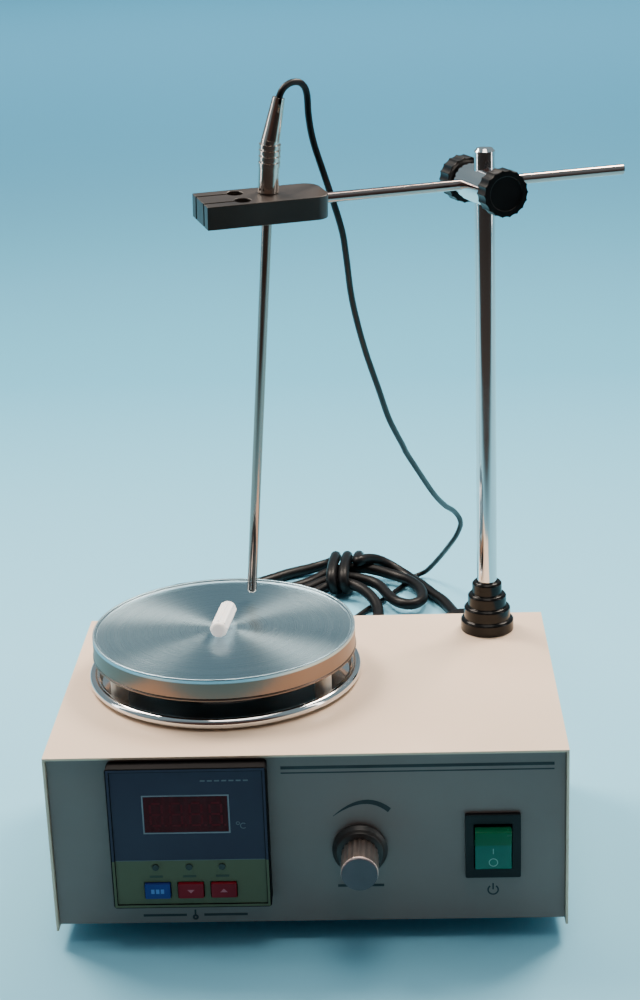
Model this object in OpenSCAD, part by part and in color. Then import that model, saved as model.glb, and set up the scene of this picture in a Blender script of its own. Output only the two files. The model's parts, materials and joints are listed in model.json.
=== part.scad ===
// Heated magnetic stirrer with a temperature controller and a stand for the probe.
// Millimetres, +Z up, front towards -Y. The origin is on the table, under the middle of the
// footprint of the stirrer and its stand, cords left out.

/* [Housing] */
// Width of the cover, side to side
housing_w = 235; // [232:1:260]
// Depth of the cover, front to back
housing_d = 160; // [156:1:170]
// Height of the cover's sides
housing_h = 88; // [86:1:92]
// Gap under the cover's lower edge
ground_gap = 8; // [6:1:10]
// Sheet thickness of the cover and the chassis
sheet_t = 1.2; // [0.8:0.1:1.6]
// How far the front and rear panels stand back from the cover's edges
panel_inset = 2; // [1.5:0.5:3]

/* [Hot plate] */
// Outer radius of the plate
plate_r = 63.6; // [62:0.1:66]
// Plate axis, from the middle of the housing, to the right
plate_x = -41.4; // [-44:0.1:-40]
// Plate axis, from the middle of the housing, to the back
plate_y = 10.3; // [9:0.1:11]
// Height of the plate's bottom edge over the cover
plate_gap = 14; // [13.5:0.1:16]
// Height of the plate's side wall
plate_wall_h = 10.9; // [10.5:0.1:12]
// Angle of the stirring bar
bar_turn = 84; // [0:1:180]

/* [Stand] */
// Diameter of the upright rod
rod_d = 10; // [9:0.5:11]
// Rod axis, from the middle of the housing, to the right
rod_x = 88.6; // [86:0.1:91]
// Rod axis, from the middle of the housing, to the back
rod_y = 60.2; // [58:0.1:61]
// Height of the rod's top over the cover
rod_rise = 244.2; // [240:0.1:250]
// Diameter of the cross arm
arm_d = 5; // [4:0.5:5]
// Height of the arm over the cover
arm_rise = 226.2; // [225:0.1:227]
// Swing of the clamp about the rod
arm_swing = 21; // [15:1:27]
// Length of arm to the right of the rod
arm_right = 78; // [60:1:90]

/* [Probe] */
// Distance from the rod to the probe, along the arm
probe_reach = 105; // [100:1:110]
// Roll of the probe holder about the arm
holder_roll = 6; // [0:1:8]
// Lean of the holder's probe bore along the arm
probe_lean = 3; // [0:1:4]
// Diameter of the probe tube
tube_d = 4.8; // [4:0.2:5]
// Length of tube below the arm's axis
tube_drop = 200; // [180:1:200]

/* [Controller] */
// Width of the temperature controller
controller_w = 72; // [72:0.5:74]
// Height of the temperature controller
controller_h = 70.5; // [70:0.5:72]
// Middle of the controller, from the middle of the housing
controller_x = -53; // [-54:0.5:-52]
// Middle of the controller, below the cover's top
controller_drop = 38; // [37.5:0.5:39]

/* [Hidden] */
$fn = 48;

// Levels
cover_top = ground_gap + housing_h;
base_z = ground_gap + 2.5;            // underside of the chassis
floor_z = base_z + sheet_t;           // upper face of the chassis
panel_y = housing_d / 2 - panel_inset; // faces of the front overlay and of the rear wall
overlay_t = 0.5;
wall_y = panel_y - overlay_t;         // outer face of the chassis' front wall
inner_w = housing_w - 2 * sheet_t;    // clear width inside the cover
tray_w = inner_w - 0.6;
wall_top = cover_top - sheet_t - 0.4; // top of the chassis' walls

// Controls on the front, measured from the middle of the housing and below the cover's top
knob_x = 23.5;
knob_drop = 48;
knob_reach = 24.5;
knob_r = 8.4;
skirt_r = 12.65;
switch_x = 83.5;
switch_drop = 47.4;
rocker_w = 16.4;
rocker_h = 20.4;
button_w = 11.5;
button_h = 7.4;
button_xs = [-15.5, -0.4, 14.6];      // from the controller's middle
button_drop = 26.1;                   // below the controller's middle

// Clamp and holder, along the clamp's own axes
arm_back = 9;                         // the arm passes behind the rod
arm_chamfer = 0.6;
clamp_r = 9;
clamp_front = 14;
clamp_rear = 17;
thumb_r = 11.3;
front_thumb_y = 15.7;
rear_thumb_y = 19;
front_thumb_t = 9.1;
rear_thumb_t = 10.5;
fit = 0.05;                           // running clearance on a radius
gap = 0.3;                            // gap between pieces that move past each other
holder_left = -138;
holder_right = -78.5;
holder_front = -14.5;
holder_back = 10.5;
holder_low = -6;
holder_high = 5;
sleeve_r = 5;
sleeve_top = 28.5;

// The footprint without the cords, which sets where the housing stands
screw_head_t = 1.8;
foot_x_min = -housing_w / 2 - screw_head_t;
foot_x_max = rod_x + arm_right * cos(arm_swing) - (arm_back - arm_d / 2) * sin(arm_swing);
foot_y_min = -panel_y - knob_reach;
foot_y_max = rod_y + (arm_right - arm_chamfer) * sin(arm_swing) + (arm_back + arm_d / 2) * cos(arm_swing);
housing_x = -(foot_x_min + foot_x_max) / 2;
housing_y = -(foot_y_min + foot_y_max) / 2;

// Cords
cord_r = 3.3;
sensor_r = 1.6;
gland_x = 40;
gland_z = 26;
gland_l = 36;
socket_x = -24;
socket_z = 50;
plug_reach = 34;                      // from the rear wall to the end of the sensor plug

// Sensor cable, from the probe's strain relief over its arch to just above the arm
top_route = [[-5.3, 28.3, 371.5], [-4.6, 28.9, 373.2], [-2.4, 31, 375.4], [0.6, 33.6, 376.6], [3.6, 36.4, 376.4],
    [6, 39, 374], [7, 41, 369], [7, 42, 362], [8, 44, 352], [10, 46, 343], [12, 48, 336]];
// Sensor cable, from below the arm down and back
drop_route = [[20, 57, 306], [22, 64, 290], [24, 78, 265], [29, 94, 237], [36, 114, 208], [41, 134, 186],
    [48, 158, 164]];
// Sensor cable, from there to the table, under the hank and back to its plug
lead_route = [[50, 166, 157], [58, 194, 135], [66, 224, 113], [73, 249, 97], [81, 272, 84], [84, 287, 72],
    [82, 300, 59], [78, 311, 48], [70, 331, 31], [62, 349, 15], [53, 362, 4], [44, 352, 2], [35, 336, 2],
    [26, 322, 2], [18, 308, 2], [6, 284, 2], [-6, 258, 2], [-16, 230, 2], [-22, 204, 2], [-24, 182, 3],
    [-24, 168, 8], [-24, 156, 20], [-24, 144, 34], [-24, 130, 46], [-24, 112, 50]];
// Mains lead, from the gland down to the table and back to the hank
power_route = [[40, 112, 26], [40, 124, 25], [40, 138, 20], [40, 152, 10], [40, 166, 5], [39, 184, 4],
    [36, 208, 4], [32, 232, 4], [29, 256, 4], [29, 280, 4], [31, 306, 4]];
// Mains lead, from the hank to the plug
tail_route = [[73, 326, 4], [78, 310, 4], [82, 294, 5], [83, 280, 10], [83, 266, 16], [83, 252, 19]];
// Hank of the mains lead: middle, turn, length, width and height
hank_at = [10, 350, 0];
hank_turn = -10;
hank_l = 150;
hank_w = 86;
hank_h = 21;

// Places

module at_housing() translate([housing_x, housing_y, 0]) children();

module on_top() at_housing() translate([0, 0, cover_top]) children();

module at_plate() on_top() translate([plate_x, plate_y, 0]) children();

// Local +Z points out of the front panel, +Y up
module on_front(x, drop) on_top() translate([x, -panel_y, -drop]) rotate([90, 0, 0]) children();

module on_controller() on_front(controller_x, controller_drop) children();

// Local +Z points out of the rear wall, +Y up
module on_rear(x, z) at_housing() translate([x, panel_y, z]) rotate([90, 0, 180]) children();

module at_rod() at_housing() translate([rod_x, rod_y, 0]) children();

// Local +X along the arm to its right end, -Y towards the front thumb screw
module at_clamp() at_rod() translate([0, 0, cover_top + arm_rise]) rotate([0, 0, arm_swing]) children();

module at_arm() at_clamp() translate([0, arm_back, 0]) children();

module at_holder() at_arm() rotate([holder_roll, 0, 0]) children();

// Local +Z up along the probe
module at_probe() at_holder() translate([-probe_reach, 0, 0]) rotate([0, probe_lean, 0]) children();

// Shapes

module rounded_rect(w, h, r) {
    square([w - 2 * r, h], center = true);
    square([w, h - 2 * r], center = true);
    for (x = [-1, 1], y = [-1, 1]) translate([x * (w / 2 - r), y * (h / 2 - r)]) circle(r);
}

module rounded_plate(w, h, t, r) linear_extrude(t) rounded_rect(w, h, r);

module block(w, h, t) translate([-w / 2, -h / 2, 0]) cube([w, h, t]);

module tube(r_out, r_in, h) difference() {
    cylinder(h = h, r = r_out);
    translate([0, 0, -1]) cylinder(h = h + 2, r = r_in);
}

module four_corners(x, y) for (sx = [-1, 1], sy = [-1, 1]) translate([sx * x, sy * y, 0]) children();

// A grip outline with equal lobes round a circle
module lobed(r, lobes, depth) {
    steps = lobes * 6;
    polygon([for (i = [0 : steps - 1]) let (a = 360 * i / steps)
        (r - depth * pow(abs(sin(a * lobes / 2)), 0.6)) * [cos(a), sin(a)]]);
}

// A tube swept along a route, one ring of points to each place on it
function unit(v) = v / norm(v);
function heading(p, i) = unit(p[min(i + 1, len(p) - 1)] - p[max(i - 1, 0)]);
function side_of(d) = unit(cross(d, abs(d[2]) > 0.9 ? [0, 1, 0] : [0, 0, 1]));
function carried(d, s) = unit(s - (s * d) * d);
function frames(p, i = 0, s = undef) = i >= len(p) ? [] :
    let (d = heading(p, i), n = is_undef(s) ? side_of(d) : carried(d, s))
    concat([[p[i], n, cross(d, n)]], frames(p, i + 1, n));
function smooth(p, k) = [for (i = [0 : len(p) - 2], j = [0 : k - 1])
        let (a = p[max(i - 1, 0)], b = p[i], c = p[i + 1], d = p[min(i + 2, len(p) - 1)], t = j / k)
        b + t * (c - a) / 2 + t * t * (a - 2.5 * b + 2 * c - 0.5 * d)
            + t * t * t * (1.5 * b - 0.5 * a - 1.5 * c + 0.5 * d)];

module swept(route, r, sides, k) {
    path = concat(smooth(route, k), [route[len(route) - 1]]);
    rings = frames(path);
    last = len(rings) - 1;
    points = [for (f = rings, j = [0 : sides - 1]) let (a = 360 * j / sides)
        f[0] + r * cos(a) * f[1] + r * sin(a) * f[2]];
    walls = [for (i = [0 : last - 1], j = [0 : sides - 1]) let (n = (j + 1) % sides)
        [i * sides + j, i * sides + n, (i + 1) * sides + n, (i + 1) * sides + j]];
    ends = [[for (j = [sides - 1 : -1 : 0]) j], [for (j = [0 : sides - 1]) last * sides + j]];
    polyhedron(points, concat(walls, ends));
}

// Housing

dish_hole_r = 40;

module housing_cover() color("wheat") at_housing() difference() {
    translate([-housing_w / 2, -housing_d / 2, ground_gap]) cube([housing_w, housing_d, housing_h]);
    translate([-inner_w / 2, -housing_d / 2 - 1, ground_gap - 1])
        cube([inner_w, housing_d + 2, housing_h - sheet_t + 1]);
    translate([plate_x, plate_y, cover_top - 5]) {
        cylinder(h = 10, r = dish_hole_r);
        at_standoffs() cylinder(h = 10, r = 1.7);
    }
    translate([rod_x, rod_y, cover_top - 5]) cylinder(h = 10, r = rod_d / 2 + 0.8);
    at_cover_screws() cylinder(h = 10, r = 1.7, center = true);
}

side_lip_h = 16;
cover_screw_z = 20;
cover_screw_y = 56;

// Local +Z points out of the housing's side
module at_cover_screws() for (side = [-1, 1], y = [-cover_screw_y, cover_screw_y])
    translate([side * housing_w / 2, y, cover_screw_z]) rotate([0, side * 90, 0]) children();

module cover_screw() {
    difference() {
        cylinder(h = screw_head_t, r1 = 3, r2 = 2.5);
        translate([0, 0, screw_head_t - 0.5]) for (a = [0, 90]) rotate(a) block(3.4, 0.7, 2);
    }
    translate([0, 0, -5]) cylinder(h = 5.5, r = 1.45);
}

module case_screws() color("silver") at_housing() {
    at_cover_screws() cover_screw();
    four_corners(foot_x, foot_y) foot_screw();
}

module wall_slot(x, z, w, h) translate([x - w / 2, -5, z - h / 2]) cube([w, 10, h]);

module chassis_tray() color("darkgray") at_housing() difference() {
    union() {
        translate([-tray_w / 2, -wall_y, base_z]) cube([tray_w, wall_y + panel_y, sheet_t]);
        for (y = [-wall_y, panel_y - sheet_t])
            translate([-tray_w / 2, y, base_z]) cube([tray_w, sheet_t, wall_top - base_z]);
        for (x = [-tray_w / 2, tray_w / 2 - sheet_t])
            translate([x, -wall_y, base_z]) cube([sheet_t, wall_y + panel_y, side_lip_h]);
    }
    at_cover_screws() cylinder(h = 12, r = 1.5, center = true);
    translate([0, 0, base_z - 1]) four_corners(foot_x, foot_y) cylinder(h = 4, r = 2.1);
    translate([0, -wall_y, 0]) front_cutouts();
    translate([0, panel_y, 0]) {
        translate([gland_x, 0, gland_z]) rotate([90, 0, 0]) cylinder(h = 10, r = 6, center = true);
        translate([fuse_x, 0, fuse_z]) rotate([90, 0, 0]) cylinder(h = 10, r = 6, center = true);
        translate([socket_x, 0, socket_z]) rotate([90, 0, 0]) cylinder(h = 10, r = 6, center = true);
        for (i = [0 : 7], z = [34, 64]) wall_slot(-100 + i * 7, z, 3, 22);
    }
    for (i = [0 : 8]) translate([-82 + i * 10, -62, base_z - 1]) cube([4, 30, 4]);
}

controller_cut = 67.4;

module front_cutouts() {
    wall_slot(controller_x, cover_top - controller_drop, controller_cut, controller_cut - 1.2);
    wall_slot(switch_x, cover_top - switch_drop, 22, 29.2);
    translate([knob_x, 0, cover_top - knob_drop]) rotate([90, 0, 0]) cylinder(h = 10, r = 3.6, center = true);
}

module front_overlay() color("slategray") at_housing() translate([0, -panel_y, 0]) difference() {
    translate([-tray_w / 2, 0, base_z]) cube([tray_w, overlay_t, wall_top - base_z]);
    front_cutouts();
}

foot_x = 103;
foot_y = 50;
foot_recess = 5;

module rubber_feet() color("dimgray") at_housing() four_corners(foot_x, foot_y) difference() {
    cylinder(h = base_z, r1 = 8, r2 = 9);
    translate([0, 0, -1]) cylinder(h = foot_recess + 1, r = 4.4);
    cylinder(h = base_z + 1, r = 2.1);
}

module foot_screw() {
    translate([0, 0, foot_recess - 2.4]) cylinder(h = 2.4, r = 3.6);
    translate([0, 0, foot_recess - 0.4]) cylinder(h = base_z + 4 - foot_recess, r = 1.9);
    translate([0, 0, floor_z]) cylinder(h = 3, r = 4, $fn = 6);
}

// Heater stack, all heights over the cover's top

plate_top = plate_gap + plate_wall_h;
plate_face = plate_top - 1;
plate_skin = 3;
plate_wall_t = 2.2;
backing_t = 1;
standoff_ring_r = 56.5;
dish_t = 0.8;
heater_t = 3.2;

module at_standoffs() for (a = [31, 149, 211, 329]) rotate(a) translate([standoff_ring_r, 0, 0]) children();

module hot_plate() color("lightgray") at_plate() {
    rotate_extrude($fn = 128) polygon([
        [0, plate_face - plate_skin], [plate_r - plate_wall_t, plate_face - plate_skin],
        [plate_r - plate_wall_t, plate_gap], [plate_r + 0.4, plate_gap], [plate_r + 0.4, plate_gap + 0.8],
        [plate_r, plate_gap + 1.2], [plate_r, plate_top - 0.4], [plate_r - 0.4, plate_top],
        [plate_r - 1.2, plate_top], [plate_r - 2, plate_face], [0, plate_face]]);
    at_standoffs() translate([0, 0, plate_gap + backing_t])
        tube(3.6, 1.45, plate_face - plate_skin - plate_gap - backing_t);
}

module heater_element() color("goldenrod") at_plate()
    translate([0, 0, plate_face - plate_skin - heater_t]) tube(51, 6, heater_t);

module insulation_pad() color("ivory") at_plate()
    translate([0, 0, plate_gap + backing_t])
        cylinder(h = plate_face - plate_skin - heater_t - plate_gap - backing_t, r = 52);

module heater_backing() color("gray") at_plate() translate([0, 0, plate_gap]) difference() {
    cylinder(h = backing_t, r = plate_r - plate_wall_t - 0.2);
    at_standoffs() translate([0, 0, -1]) cylinder(h = 4, r = 1.7);
}

module plate_standoffs() color("linen") at_plate() at_standoffs()
    translate([0, 0, dish_t]) tube(4, 1.7, plate_gap - dish_t);

module plate_screws() color("silver") at_plate() at_standoffs() {
    translate([0, 0, -sheet_t - 2]) cylinder(h = 2, r = 2.8);
    translate([0, 0, -sheet_t - 0.5]) cylinder(h = plate_gap + sheet_t + 5, r = 1.45);
}

module drip_ring() color("gainsboro") at_plate() difference() {
    rotate_extrude($fn = 128) {
        polygon([[32, 0], [60.6, 0], [62.4, 1.6], [62.4, 5], [61.4, 5], [61.4, 2], [60.2, dish_t], [32, dish_t]]);
        translate([63.8, 3.2]) circle(2.5);
    }
    at_standoffs() translate([0, 0, -1]) cylinder(h = 4, r = 1.7);
}

// Motor and magnets, heights over the cover's top

bridge_z = -22;
motor_r = 25;
motor_h = 42;
shaft_r = 3;
leg_x = 42;

module motor_bracket() color("gray") at_plate() {
    depth = cover_top + bridge_z - floor_z;
    difference() {
        translate([-leg_x, -25, bridge_z]) cube([2 * leg_x, 50, 2]);
        translate([0, 0, bridge_z - 1]) {
            cylinder(h = 4, r = 9);
            for (x = [-1, 1]) translate([x * 17, 0, 0]) cylinder(h = 4, r = 1.6);
        }
    }
    for (side = [-1, 1]) {
        translate([side * (leg_x - 1) - 1, -25, bridge_z - depth]) cube([2, 50, depth]);
        difference() {
            translate([side * (leg_x - 6) - 6, -25, bridge_z - depth]) cube([12, 50, 2]);
            for (y = [-1, 1]) translate([side * (leg_x - 7), y * 17, bridge_z - depth - 1])
                cylinder(h = 4, r = 1.6);
        }
    }
}

module motor_body() color("dimgray") at_plate() translate([0, 0, bridge_z - motor_h]) difference() {
    cylinder(h = motor_h, r = motor_r);
    translate([0, 0, 5]) {
        cylinder(h = motor_h, r = shaft_r + 0.5);
        cylinder(h = 6, r = 8);
    }
    translate([0, 0, motor_h - 6]) cylinder(h = 10, r = 8);
    for (x = [-1, 1]) translate([x * 17, 0, motor_h - 6]) cylinder(h = 10, r = 1.45);
}

module motor_bearings() color("silver") at_plate()
    for (z = [bridge_z - motor_h + 5, bridge_z - 6]) translate([0, 0, z]) tube(8, shaft_r + fit, 6);

module motor_screws() color("silver") at_plate() {
    for (x = [-1, 1]) translate([x * 17, 0, bridge_z - 5]) {
        cylinder(h = 7.5, r = 1.45);
        translate([0, 0, 7]) cylinder(h = 2, r = 2.8);
    }
    for (side = [-1, 1], y = [-1, 1])
        translate([side * (leg_x - 7), y * 17, floor_z + 2 - cover_top]) cylinder(h = 2, r = 2.8);
}

module motor_shaft() color("silver") at_plate()
    translate([0, 0, bridge_z - motor_h + 5.5]) cylinder(h = motor_h - 5.5 - bridge_z + 4.6, r = shaft_r);

module magnet_carrier() color("lightgray") at_plate() difference() {
    union() {
        translate([0, 0, -14]) cylinder(h = 16, r = 8);
        translate([0, 0, 1.6]) cylinder(h = 4, r = 27);
    }
    translate([0, 0, -15]) cylinder(h = 30, r = shaft_r);
    for (x = [-1, 1]) translate([x * 16, 0, 3.6]) cylinder(h = 10, r = 8);
}

module drive_magnets() color("slategray") at_plate()
    for (x = [-1, 1]) translate([x * 16, 0, 3.6]) cylinder(h = 8, r = 8);

bar_r = 4.3;
bar_l = 30;

// Local +Z along the bar
module at_bar() at_plate() translate([0, 0, plate_face + gap + bar_r]) rotate([0, 0, bar_turn])
    rotate([0, 90, 0]) children();

module stir_bar() color("white") at_bar() difference() {
    union() {
        rotate_extrude() polygon(concat([[0, -bar_l / 2]],
            [for (a = [0 : 15 : 90]) [bar_r - 2.4 + 2 * sin(a), -bar_l / 2 + 2 - 2 * cos(a)]],
            [for (a = [0 : 15 : 90]) [bar_r - 2.4 + 2 * cos(a), bar_l / 2 - 2 + 2 * sin(a)]],
            [[0, bar_l / 2]]));
        for (i = [0 : 7]) rotate(i * 45) translate([bar_r - 1, 0, -bar_l / 2 + 2.5])
            cylinder(h = bar_l - 5, r = 1);
    }
    translate([0, 0, -10]) cylinder(h = 20, r = 2.4);
}

module stir_magnet() color("slategray") at_bar() translate([0, 0, -10]) cylinder(h = 20, r = 2.4);

// Temperature controller: local +Z out of the panel, zero on the panel's face

bezel_t = 8;
face_t = 1.2;
face_z = bezel_t - 0.6 - face_t;      // back of the faceplate
face_w = controller_w - 4;
face_h = controller_h - 4;
window_w = 37.6;
window_h = 17.6;
window_x = -0.7;
window_y = 12.1;
led_xs = [-15.9, -0.7, 14.2];
led_y = -14.4;
case_w = 66;
case_h = 65;
case_depth = 52;

module case_shell(w, h, depth, wall) difference() {
    translate([0, 0, -depth]) block(w, h, depth);
    translate([0, 0, -depth + wall]) block(w - 2 * wall, h - 2 * wall, depth);
}

module controller_case() color("dimgray") on_controller() difference() {
    case_shell(case_w, case_h, case_depth, 1.6);
    for (i = [-4 : 4]) translate([i * 6, 0, -case_depth - 1]) block(3, 30, 5);
}

module controller_bezel() color("darkslategray") on_controller() difference() {
    rounded_plate(controller_w, controller_h, bezel_t, 1.5);
    translate([0, 0, -1]) block(case_w - 3.2, case_h - 3.2, bezel_t + 2);
    translate([0, 0, face_z]) block(face_w, face_h, bezel_t);
}

module button_openings(grow) for (x = button_xs) translate([x, -button_drop, 0])
    block(button_w + grow, button_h + grow, 10);

module controller_faceplate() color("midnightblue") on_controller() translate([0, 0, face_z]) difference() {
    block(face_w, face_h, face_t);
    translate([window_x, window_y, -1]) block(window_w, window_h, 5);
    translate([0, 0, -1]) button_openings(0.8);
    for (x = led_xs) translate([x, led_y, -1]) cylinder(h = 5, r = 1.5);
}

module display_window() color("darkred") on_controller()
    translate([window_x, window_y, face_z]) block(window_w, window_h, face_t);

digit_h = 10;
digit_w = 5.4;
digit_pitch = 8.6;

module segment(l) polygon([[-l / 2, 0], [-l / 2 + 0.6, 0.6], [l / 2 - 0.6, 0.6], [l / 2, 0],
    [l / 2 - 0.6, -0.6], [-l / 2 + 0.6, -0.6]]);

module digit() {
    for (y = [-1, 0, 1]) translate([0, y * digit_h / 2]) segment(digit_w - 1);
    for (x = [-1, 1], y = [-1, 1])
        translate([x * digit_w / 2, y * digit_h / 4]) rotate(90) segment(digit_h / 2 - 1);
}

module digit_module() color("gray") on_controller() translate([window_x, window_y, 0]) {
    translate([0, 0, face_z - 8]) block(window_w - 1, window_h - 1, 6.8);
    translate([0, 0, face_z - 1.2]) linear_extrude(0.4)
        for (i = [-1.5 : 1.5]) translate([i * digit_pitch, 0]) digit();
}

module indicator_leds() color("darkolivegreen") on_controller()
    for (x = led_xs) translate([x, led_y, face_z - 4]) cylinder(h = face_t + 4.6, r = 1.5);

module key_button(i) on_controller() translate([button_xs[i], -button_drop, 0]) {
    translate([0, 0, face_z + 0.2]) rounded_plate(button_w, button_h, face_t + 1.3, 0.6);
    translate([0, 0, face_z - 2.8]) cylinder(h = 3.5, r = 1.6);
}

module set_button() color("royalblue") key_button(0);

module down_button() color("crimson") key_button(1);

module up_button() color("crimson") key_button(2);

module controller_board() color("darkgreen") on_controller() {
    translate([0, 0, -5.6]) block(60, 60, 1.6);
    for (x = button_xs) translate([x, -button_drop, -4]) block(6, 6, face_z - 0.1);
    translate([-15, 10, -16]) block(16, 20, 10.4);
    translate([14, 8, -14]) cylinder(h = 8.4, r = 6);
}

module controller_clamp() color("dimgray") on_controller() translate([0, 0, -13]) difference() {
    block(72, 71, 11);
    translate([0, 0, -1]) block(case_w, case_h, 20);
}

// Speed control: local +Z out of the panel

module on_knob() on_front(knob_x, knob_drop) children();

pot_shaft_r = 3;

module potentiometer() color("gray") on_knob() difference() {
    union() {
        translate([0, 0, -13]) cylinder(h = 11, r = 12);
        translate([0, 0, -3]) cylinder(h = 7, r = 3.5);
        cylinder(h = 2.2, r = 6, $fn = 6);
    }
    translate([0, 0, -9]) cylinder(h = 20, r = pot_shaft_r + fit - 0.6);
}

module pot_shaft() color("silver") on_knob() translate([0, 0, -8.5]) cylinder(h = 24, r = pot_shaft_r - 0.6);

skirt_gap = 0.8;

module speed_knob() color("rosybrown") on_knob() difference() {
    union() {
        translate([0, 0, skirt_gap]) cylinder(h = 2.6, r1 = skirt_r, r2 = skirt_r - 0.4);
        translate([0, 0, skirt_gap + 2.6]) cylinder(h = 2.4, r1 = skirt_r - 1.6, r2 = knob_r + 1);
        translate([0, 0, skirt_gap + 4]) linear_extrude(knob_reach - 1 - skirt_gap - 4)
            lobed(knob_r, 24, 0.45);
    }
    translate([0, 0, -1]) cylinder(h = 5.8, r = 7.4);
    translate([0, 0, 4]) cylinder(h = 11.5, r = pot_shaft_r - 0.6);
}

module knob_cap() color("lightsteelblue") on_knob() translate([0, 0, knob_reach - 1])
    cylinder(h = 1, r1 = knob_r - 0.2, r2 = knob_r - 0.5);

// Power switch: local +Z out of the panel

module on_switch() on_front(switch_x, switch_drop) children();

opening_w = 17.2;
opening_h = 22.3;
pivot_z = -1.5;
pivot_r = 1.5;
rocker_lean = 7;
rocker_ridge = 1.2;                   // its two facets meet above the pivot
rocker_end_z = 6.8;

module switch_frame() color("black") on_switch() difference() {
    union() {
        rounded_plate(25, 32, 2.2, 0.8);
        translate([0, 0, -20]) block(21.6, 28.8, 20.5);
        for (x = [-6, 0, 6], y = [-8, 8]) translate([x, y, -28]) block(0.8, 4.8, 9);
    }
    translate([0, 0, -12]) block(opening_w, opening_h, 30);
    translate([0, 0, pivot_z]) rotate([0, 90, 0]) cylinder(h = 20.4, r = pivot_r + fit, center = true);
}

// At rest the switch is off, with the rocker's lower half pressed in
module switch_rocker() color("seagreen") on_switch() translate([0, 0, pivot_z]) rotate([rocker_lean, 0, 0]) {
    half = rocker_h / 2;
    translate([-rocker_w / 2, 0, 0]) rotate([90, 0, 90]) linear_extrude(rocker_w)
        polygon([[-half, rocker_end_z - 0.6], [-half + 0.8, rocker_end_z], [rocker_ridge, rocker_end_z - 2],
            [half - 0.8, rocker_end_z], [half, rocker_end_z - 0.6], [half - 0.6, 1], [4, -5], [-4, -5],
            [-half + 0.6, 1]]);
    rotate([0, 90, 0]) cylinder(h = 20, r = pivot_r, center = true);
}

// Electrical pieces inside

module speed_board() color("darkgreen") at_housing() translate([44, -26, floor_z]) {
    translate([0, 0, 8]) difference() {
        block(70, 44, 1.6);
        four_corners(31, 18) translate([0, 0, -1]) cylinder(h = 4, r = 1.5);
    }
    four_corners(31, 18) {
        cylinder(h = 8, r = 3);
        cylinder(h = 10, r = 1.5);
    }
    translate([-18, 6, 9.6]) cylinder(h = 18, r = 8);
    translate([6, 4, 9.6]) block(20, 24, 12);
    for (i = [-2 : 2]) translate([24 + i * 2.2, 0, 9.6]) block(1, 30, 22);
    translate([24, 0, 9.6]) block(10, 30, 4);
}

module transformer() color("saddlebrown") at_housing() translate([42, 24, floor_z]) {
    difference() {
        block(46, 30, 38);
        for (x = [-1, 1]) translate([x * 11.5, 0, 8]) block(9, 40, 22);
    }
    translate([0, 0, 8.4]) block(29, 36, 21.2);
}

fuse_x = 8;
fuse_z = 28;

module fuse_holder() color("black") on_rear(fuse_x, fuse_z) {
    translate([0, 0, -28]) cylinder(h = 28.5, r = 6);
    cylinder(h = 2.2, r = 8);
    translate([0, 0, 2]) difference() {
        cylinder(h = 8, r1 = 6.6, r2 = 6);
        translate([0, 0, 7]) block(1.2, 9, 3);
    }
    translate([0, 0, -6]) cylinder(h = 4.8, r = 8.4, $fn = 6);
}

module sensor_socket() color("silver") on_rear(socket_x, socket_z) {
    translate([0, 0, -14]) cylinder(h = 14.5, r = 6);
    cylinder(h = 2, r = 8.5, $fn = 6);
    cylinder(h = 8, r = 6);
}

// Stand

socket_h = 30;

module rod_socket() color("silver") at_rod() translate([0, 0, floor_z]) difference() {
    union() {
        cylinder(h = socket_h, r = 13);
        translate([0, -13, socket_h - 10]) rotate([90, 0, 0]) cylinder(h = 2.5, r = 4, $fn = 6);
    }
    translate([0, 0, 1]) cylinder(h = socket_h, r = rod_d / 2 + fit);
}

boot_tiers = [13.4, 11.7, 9.7, 7.5];
tier_h = 6.5;

module rod_boot() color("black") at_rod() translate([0, 0, cover_top]) difference() {
    for (i = [0 : len(boot_tiers) - 1]) translate([0, 0, i * tier_h]) {
        cylinder(h = tier_h - 1, r = boot_tiers[i]);
        translate([0, 0, tier_h - 1]) cylinder(h = 1, r1 = boot_tiers[i], r2 = boot_tiers[i] - 1);
    }
    translate([0, 0, -1]) cylinder(h = 40, r = rod_d / 2 + fit);
}

module support_rod() color("silver") at_rod() {
    foot = floor_z + 1 + gap;
    translate([0, 0, foot]) cylinder(h = cover_top + rod_rise - 1.5 - foot, d = rod_d);
    translate([0, 0, cover_top + rod_rise - 1.5]) cylinder(h = 1.5, r1 = rod_d / 2, r2 = rod_d / 2 - 1.2);
}

module clamp_body() color("silver") at_clamp() difference() {
    rotate([90, 0, 0]) translate([0, 0, -clamp_rear]) {
        translate([0, 0, 0.8]) cylinder(h = clamp_front + clamp_rear - 1.6, r = clamp_r);
        cylinder(h = 0.8, r1 = clamp_r - 0.8, r2 = clamp_r);
        translate([0, 0, clamp_front + clamp_rear - 0.8]) cylinder(h = 0.8, r1 = clamp_r, r2 = clamp_r - 0.8);
    }
    translate([0, 0, -20]) cylinder(h = 40, r = rod_d / 2 + fit);
    translate([0, arm_back, 0]) rotate([0, 90, 0]) cylinder(h = 40, r = arm_d / 2 + fit, center = true);
    rotate([90, 0, 0]) cylinder(h = 30, r = screw_r + fit);
    translate([0, arm_back, 0]) rotate([-90, 0, 0]) cylinder(h = 30, r = screw_r + fit);
}

screw_r = 1.95;

// A thumb screw whose knob starts at z = 0 and whose screw reaches down to -reach
module thumb_screw(t, reach) {
    difference() {
        linear_extrude(t) lobed(thumb_r, 18, 0.7);
        translate([0, 0, t - 0.8]) cylinder(h = 2, r = 8);
    }
    translate([0, 0, -reach]) cylinder(h = reach + 1, r = screw_r);
}

module rod_clamp_knob() color("black") at_clamp() translate([0, -front_thumb_y, 0]) rotate([90, 0, 0])
    thumb_screw(front_thumb_t, front_thumb_y - rod_d / 2 - gap);

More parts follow.
